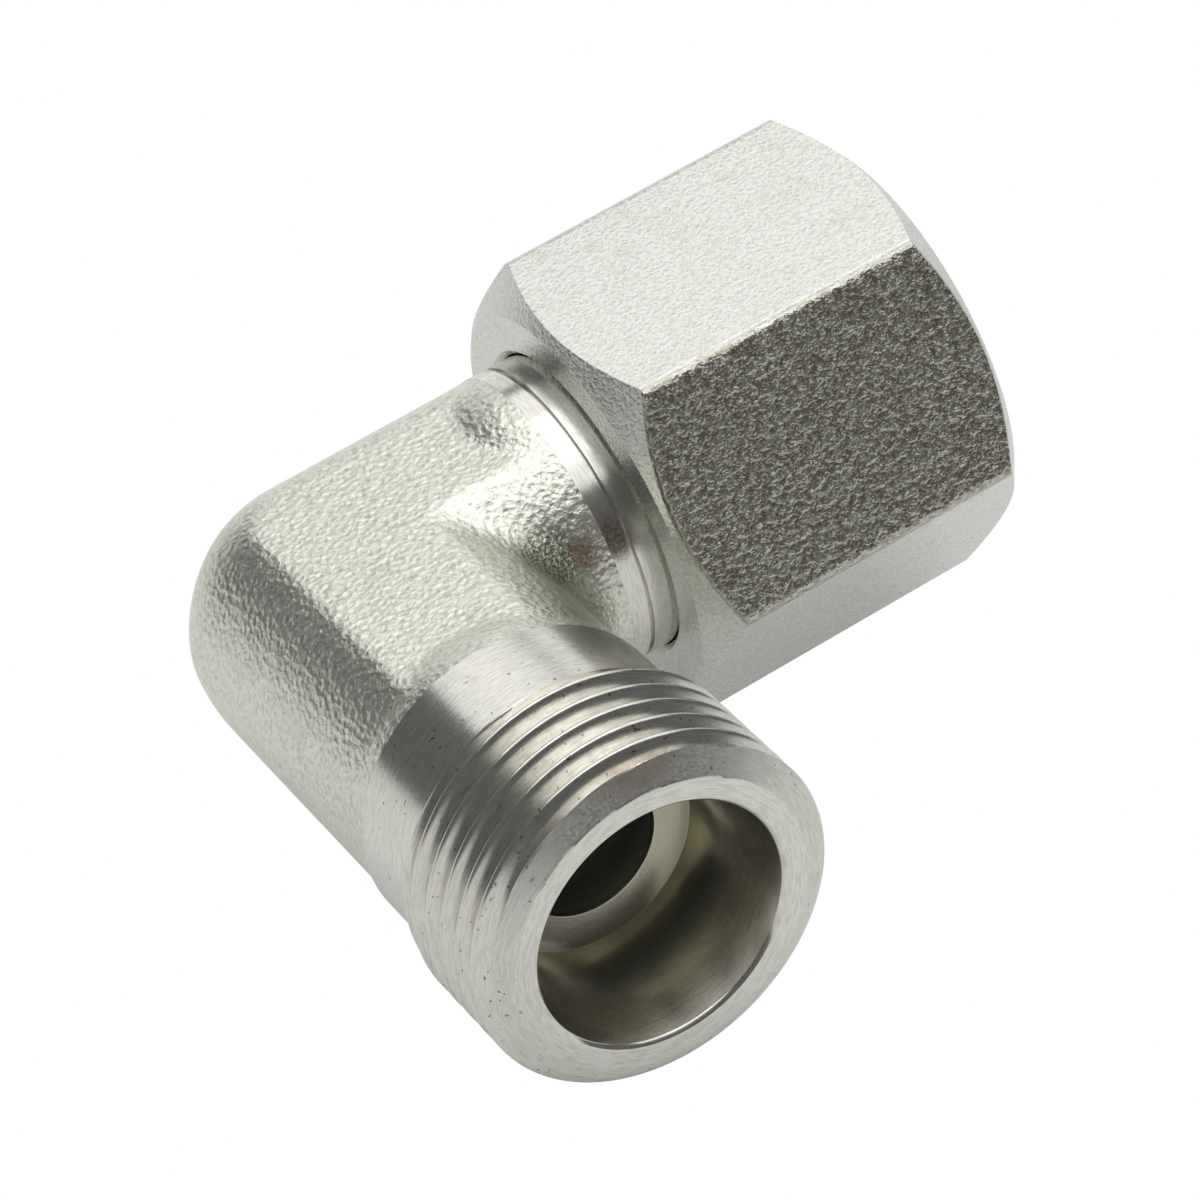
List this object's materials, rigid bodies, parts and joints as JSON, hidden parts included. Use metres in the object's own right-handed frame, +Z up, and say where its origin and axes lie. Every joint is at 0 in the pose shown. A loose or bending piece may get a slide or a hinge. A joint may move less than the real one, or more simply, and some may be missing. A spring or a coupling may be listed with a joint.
{
  "type": "swivel elbow adapter",
  "caption": "Forged 90 degree hydraulic adapter, stud with 24 degree tube port to captive swivel nut with sealed nose, zinc-plated steel",
  "frame": {"origin": "centre of the tube port's mouth, in the end face of the stud", "axes": "-Y out of the stud, +Z up as the fitting lies on its heel, its thread and the nut's back corner; the swivel arm points to +X and rises 12 degrees"},
  "size_m": [0.0463, 0.0447, 0.0291],
  "materials": {
    "forged_steel": "zinc plated, fine shot-blasted forging skin with turned ends",
    "nut_steel": "zinc plated hexagon bar, turned ends",
    "wire_steel": "drawn spring wire",
    "seal_rubber": "matte"
  },
  "bodies": {
    "elbow": {"elbow_body": "forged_steel", "o_ring": "seal_rubber"},
    "nut": {"swivel_nut": "nut_steel", "lock_wire": "wire_steel"}
  },
  "joints": [
    {"name": "nut_swivel", "type": "hinge", "parent": "elbow", "child": "nut", "pos_m": [0.01663, 0.031, 0.00353], "axis": [0.9781, 0, 0.2079], "continuous": true}
  ]
}
